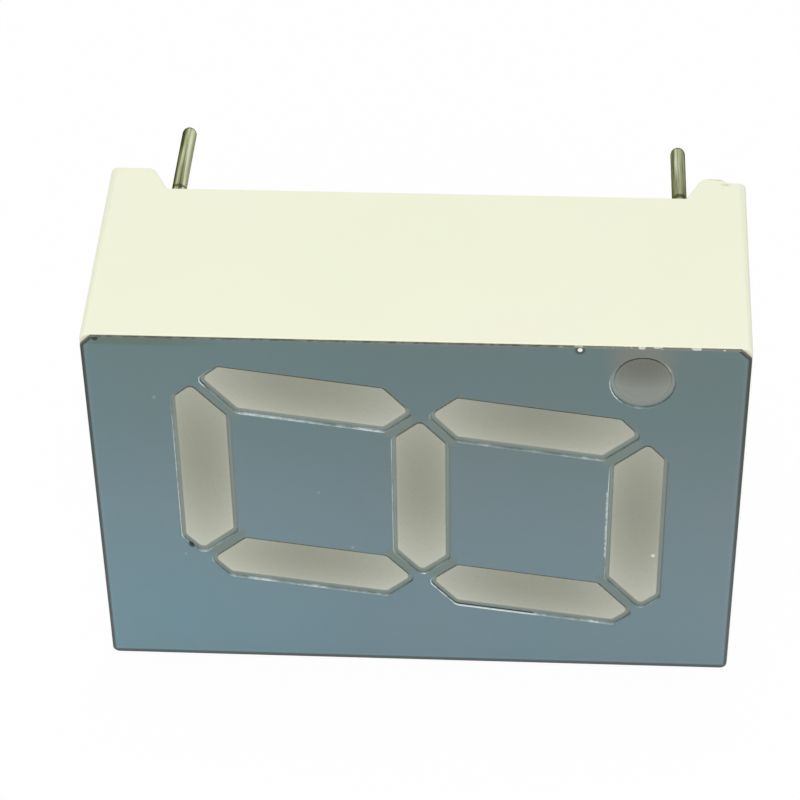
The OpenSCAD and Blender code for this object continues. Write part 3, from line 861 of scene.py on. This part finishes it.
piece("resin_back", resin_surface(), poured_resin(), ("potting",), smooth_under=40)

# %% [markdown]
# Inside, nothing shows. The hidden nodes still get the finish of their material, for
# whoever opens the housing or cuts the model in two.

# %% Hidden parts
def plain(name, dark, light, scale, roughness, metallic=0.0):
    """A finish that wanders between two tones, with a fine grain."""
    f = Finish(name, dark, roughness, metallic)
    f.colour(f.ramp(f.noise(scale, 3.0), (0.3, dark), (0.7, light)))
    f.bump(f.noise(scale * 4, 2.0), 0.002, 0.4)
    return f

hidden = {
    "circuit_board": plain("glass fibre board", (0.16, 0.30, 0.12), (0.22, 0.38, 0.17), 1.5, 0.45),
    "copper": plain("copper", (0.66, 0.30, 0.16), (0.78, 0.42, 0.26), 2.0, 0.35, 1.0),
    "chip": plain("chip", (0.30, 0.11, 0.04), (0.50, 0.22, 0.08), 8.0, 0.15),
    "wire": plain("gold wire", (0.80, 0.55, 0.16), (0.90, 0.68, 0.26), 20.0, 0.2, 1.0),
    "solder": plain("solder", (0.50, 0.51, 0.51), (0.66, 0.67, 0.67), 5.0, 0.3, 1.0),
}
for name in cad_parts:
    for start, finish in hidden.items():
        if name.startswith(start):
            wear(name, finish)

# %% [markdown]
# The floor and the world are white to the eye, without adding light to the object. The
# floor's own shading is mixed in faintly, so that it keeps a soft shadow.

# %% White floor and surroundings
def seen_directly(tree):
    """1 for rays from the camera, from glossy surfaces and through clear ones."""
    path = tree.nodes.new("ShaderNodeLightPath")
    total = path.outputs["Is Camera Ray"]
    for name in ("Is Glossy Ray", "Is Transmission Ray"):
        add = tree.nodes.new("ShaderNodeMath")
        add.operation = "MAXIMUM"
        tree.links.new(total, add.inputs[0])
        tree.links.new(path.outputs[name], add.inputs[1])
        total = add.outputs[0]
    return total


def floor_material(glow_share):
    """Pale and dull, with its own light mixed in for the rays that see it directly."""
    material = bpy.data.materials.new("white floor")
    material.use_nodes = True
    tree = material.node_tree
    tree.nodes.clear()
    shade = tree.nodes.new("ShaderNodeBsdfDiffuse")
    shade.inputs["Color"].default_value = (0.95, 0.95, 0.95, 1)
    glow = tree.nodes.new("ShaderNodeEmission")
    amount = tree.nodes.new("ShaderNodeMath")
    amount.operation = "MULTIPLY"
    amount.inputs[1].default_value = glow_share
    mix = tree.nodes.new("ShaderNodeMixShader")
    out = tree.nodes.new("ShaderNodeOutputMaterial")
    tree.links.new(seen_directly(tree), amount.inputs[0])
    tree.links.new(amount.outputs[0], mix.inputs["Fac"])
    tree.links.new(shade.outputs[0], mix.inputs[1])
    tree.links.new(glow.outputs[0], mix.inputs[2])
    tree.links.new(mix.outputs[0], out.inputs["Surface"])
    return material


def white_floor(half_size):
    """A flat square at the height of the object's lowest point. It is stage, not object."""
    bm = bmesh.new()
    bmesh.ops.create_grid(bm, x_segments=1, y_segments=1, size=half_size)
    bmesh.ops.translate(bm, verts=bm.verts, vec=(0, 0, FLOOR_Z * MM))
    mesh = bpy.data.meshes.new("floor")
    bm.to_mesh(mesh)
    bm.free()
    mesh.materials.append(floor_material(glow_share=0.96))
    made = bpy.data.objects.new("floor", mesh)
    bpy.context.scene.collection.objects.link(made)


def white_world(level):
    """White to the eye, and of the given level as light on the object."""
    world = bpy.data.worlds.new("surroundings")
    world.use_nodes = True
    bpy.context.scene.world = world
    tree = world.node_tree
    background = tree.nodes["Background"]
    background.inputs["Color"].default_value = (1, 1, 1, 1)
    strength = tree.nodes.new("ShaderNodeMapRange")
    strength.inputs["To Min"].default_value = level
    strength.inputs["To Max"].default_value = 1.0
    tree.links.new(seen_directly(tree), strength.inputs["Value"])
    tree.links.new(strength.outputs["Result"], background.inputs["Strength"])

white_floor(half_size=2.0)
white_world(level=0.53)
print("floor and surroundings made")

# %% [markdown]
# Two soft lamps model the form: a broad one above, which makes the top wall the brightest,
# and a weaker one in front and to the right.

# %% Lamps
def lamp(name, place, target, width, watts):
    """A square lamp that looks at its target. Places and width are in millimetres."""
    data = bpy.data.lights.new(name, "AREA")
    data.size = width * MM
    data.energy = watts
    made = bpy.data.objects.new(name, data)
    made.location = [c * MM for c in place]
    aim = Vector(target) - Vector(place)
    made.rotation_mode = "QUATERNION"
    made.rotation_quaternion = aim.to_track_quat("-Z", "Y")
    bpy.context.scene.collection.objects.link(made)
    print(name, watts, "W")

lamp("lamp above", (-10, -10, 160), target=(0, -3, 0), width=140, watts=0.118)
lamp("lamp in front", (15, -150, 70), target=(0, -4, 0), width=110, watts=0.061)

# %% [markdown]
# The camera looks down at the display from in front with a long lens, so that the
# box hardly narrows towards the back.

# %% Camera
camera = bpy.data.objects.new("camera", bpy.data.cameras.new("camera"))
camera.location = [c * MM for c in (3.550, -69.813, 56.568)]
camera.rotation_euler = [math.radians(a) for a in (49.774, 0.783, 3.010)]
camera.data.lens = 128.74
camera.data.sensor_width = 36
camera.data.clip_start = 0.005
camera.data.clip_end = 10
bpy.context.scene.collection.objects.link(camera)
bpy.context.scene.camera = camera
bpy.context.scene.view_settings.view_transform = "Standard"
print("camera", tuple(round(c / MM, 1) for c in camera.location), "mm")
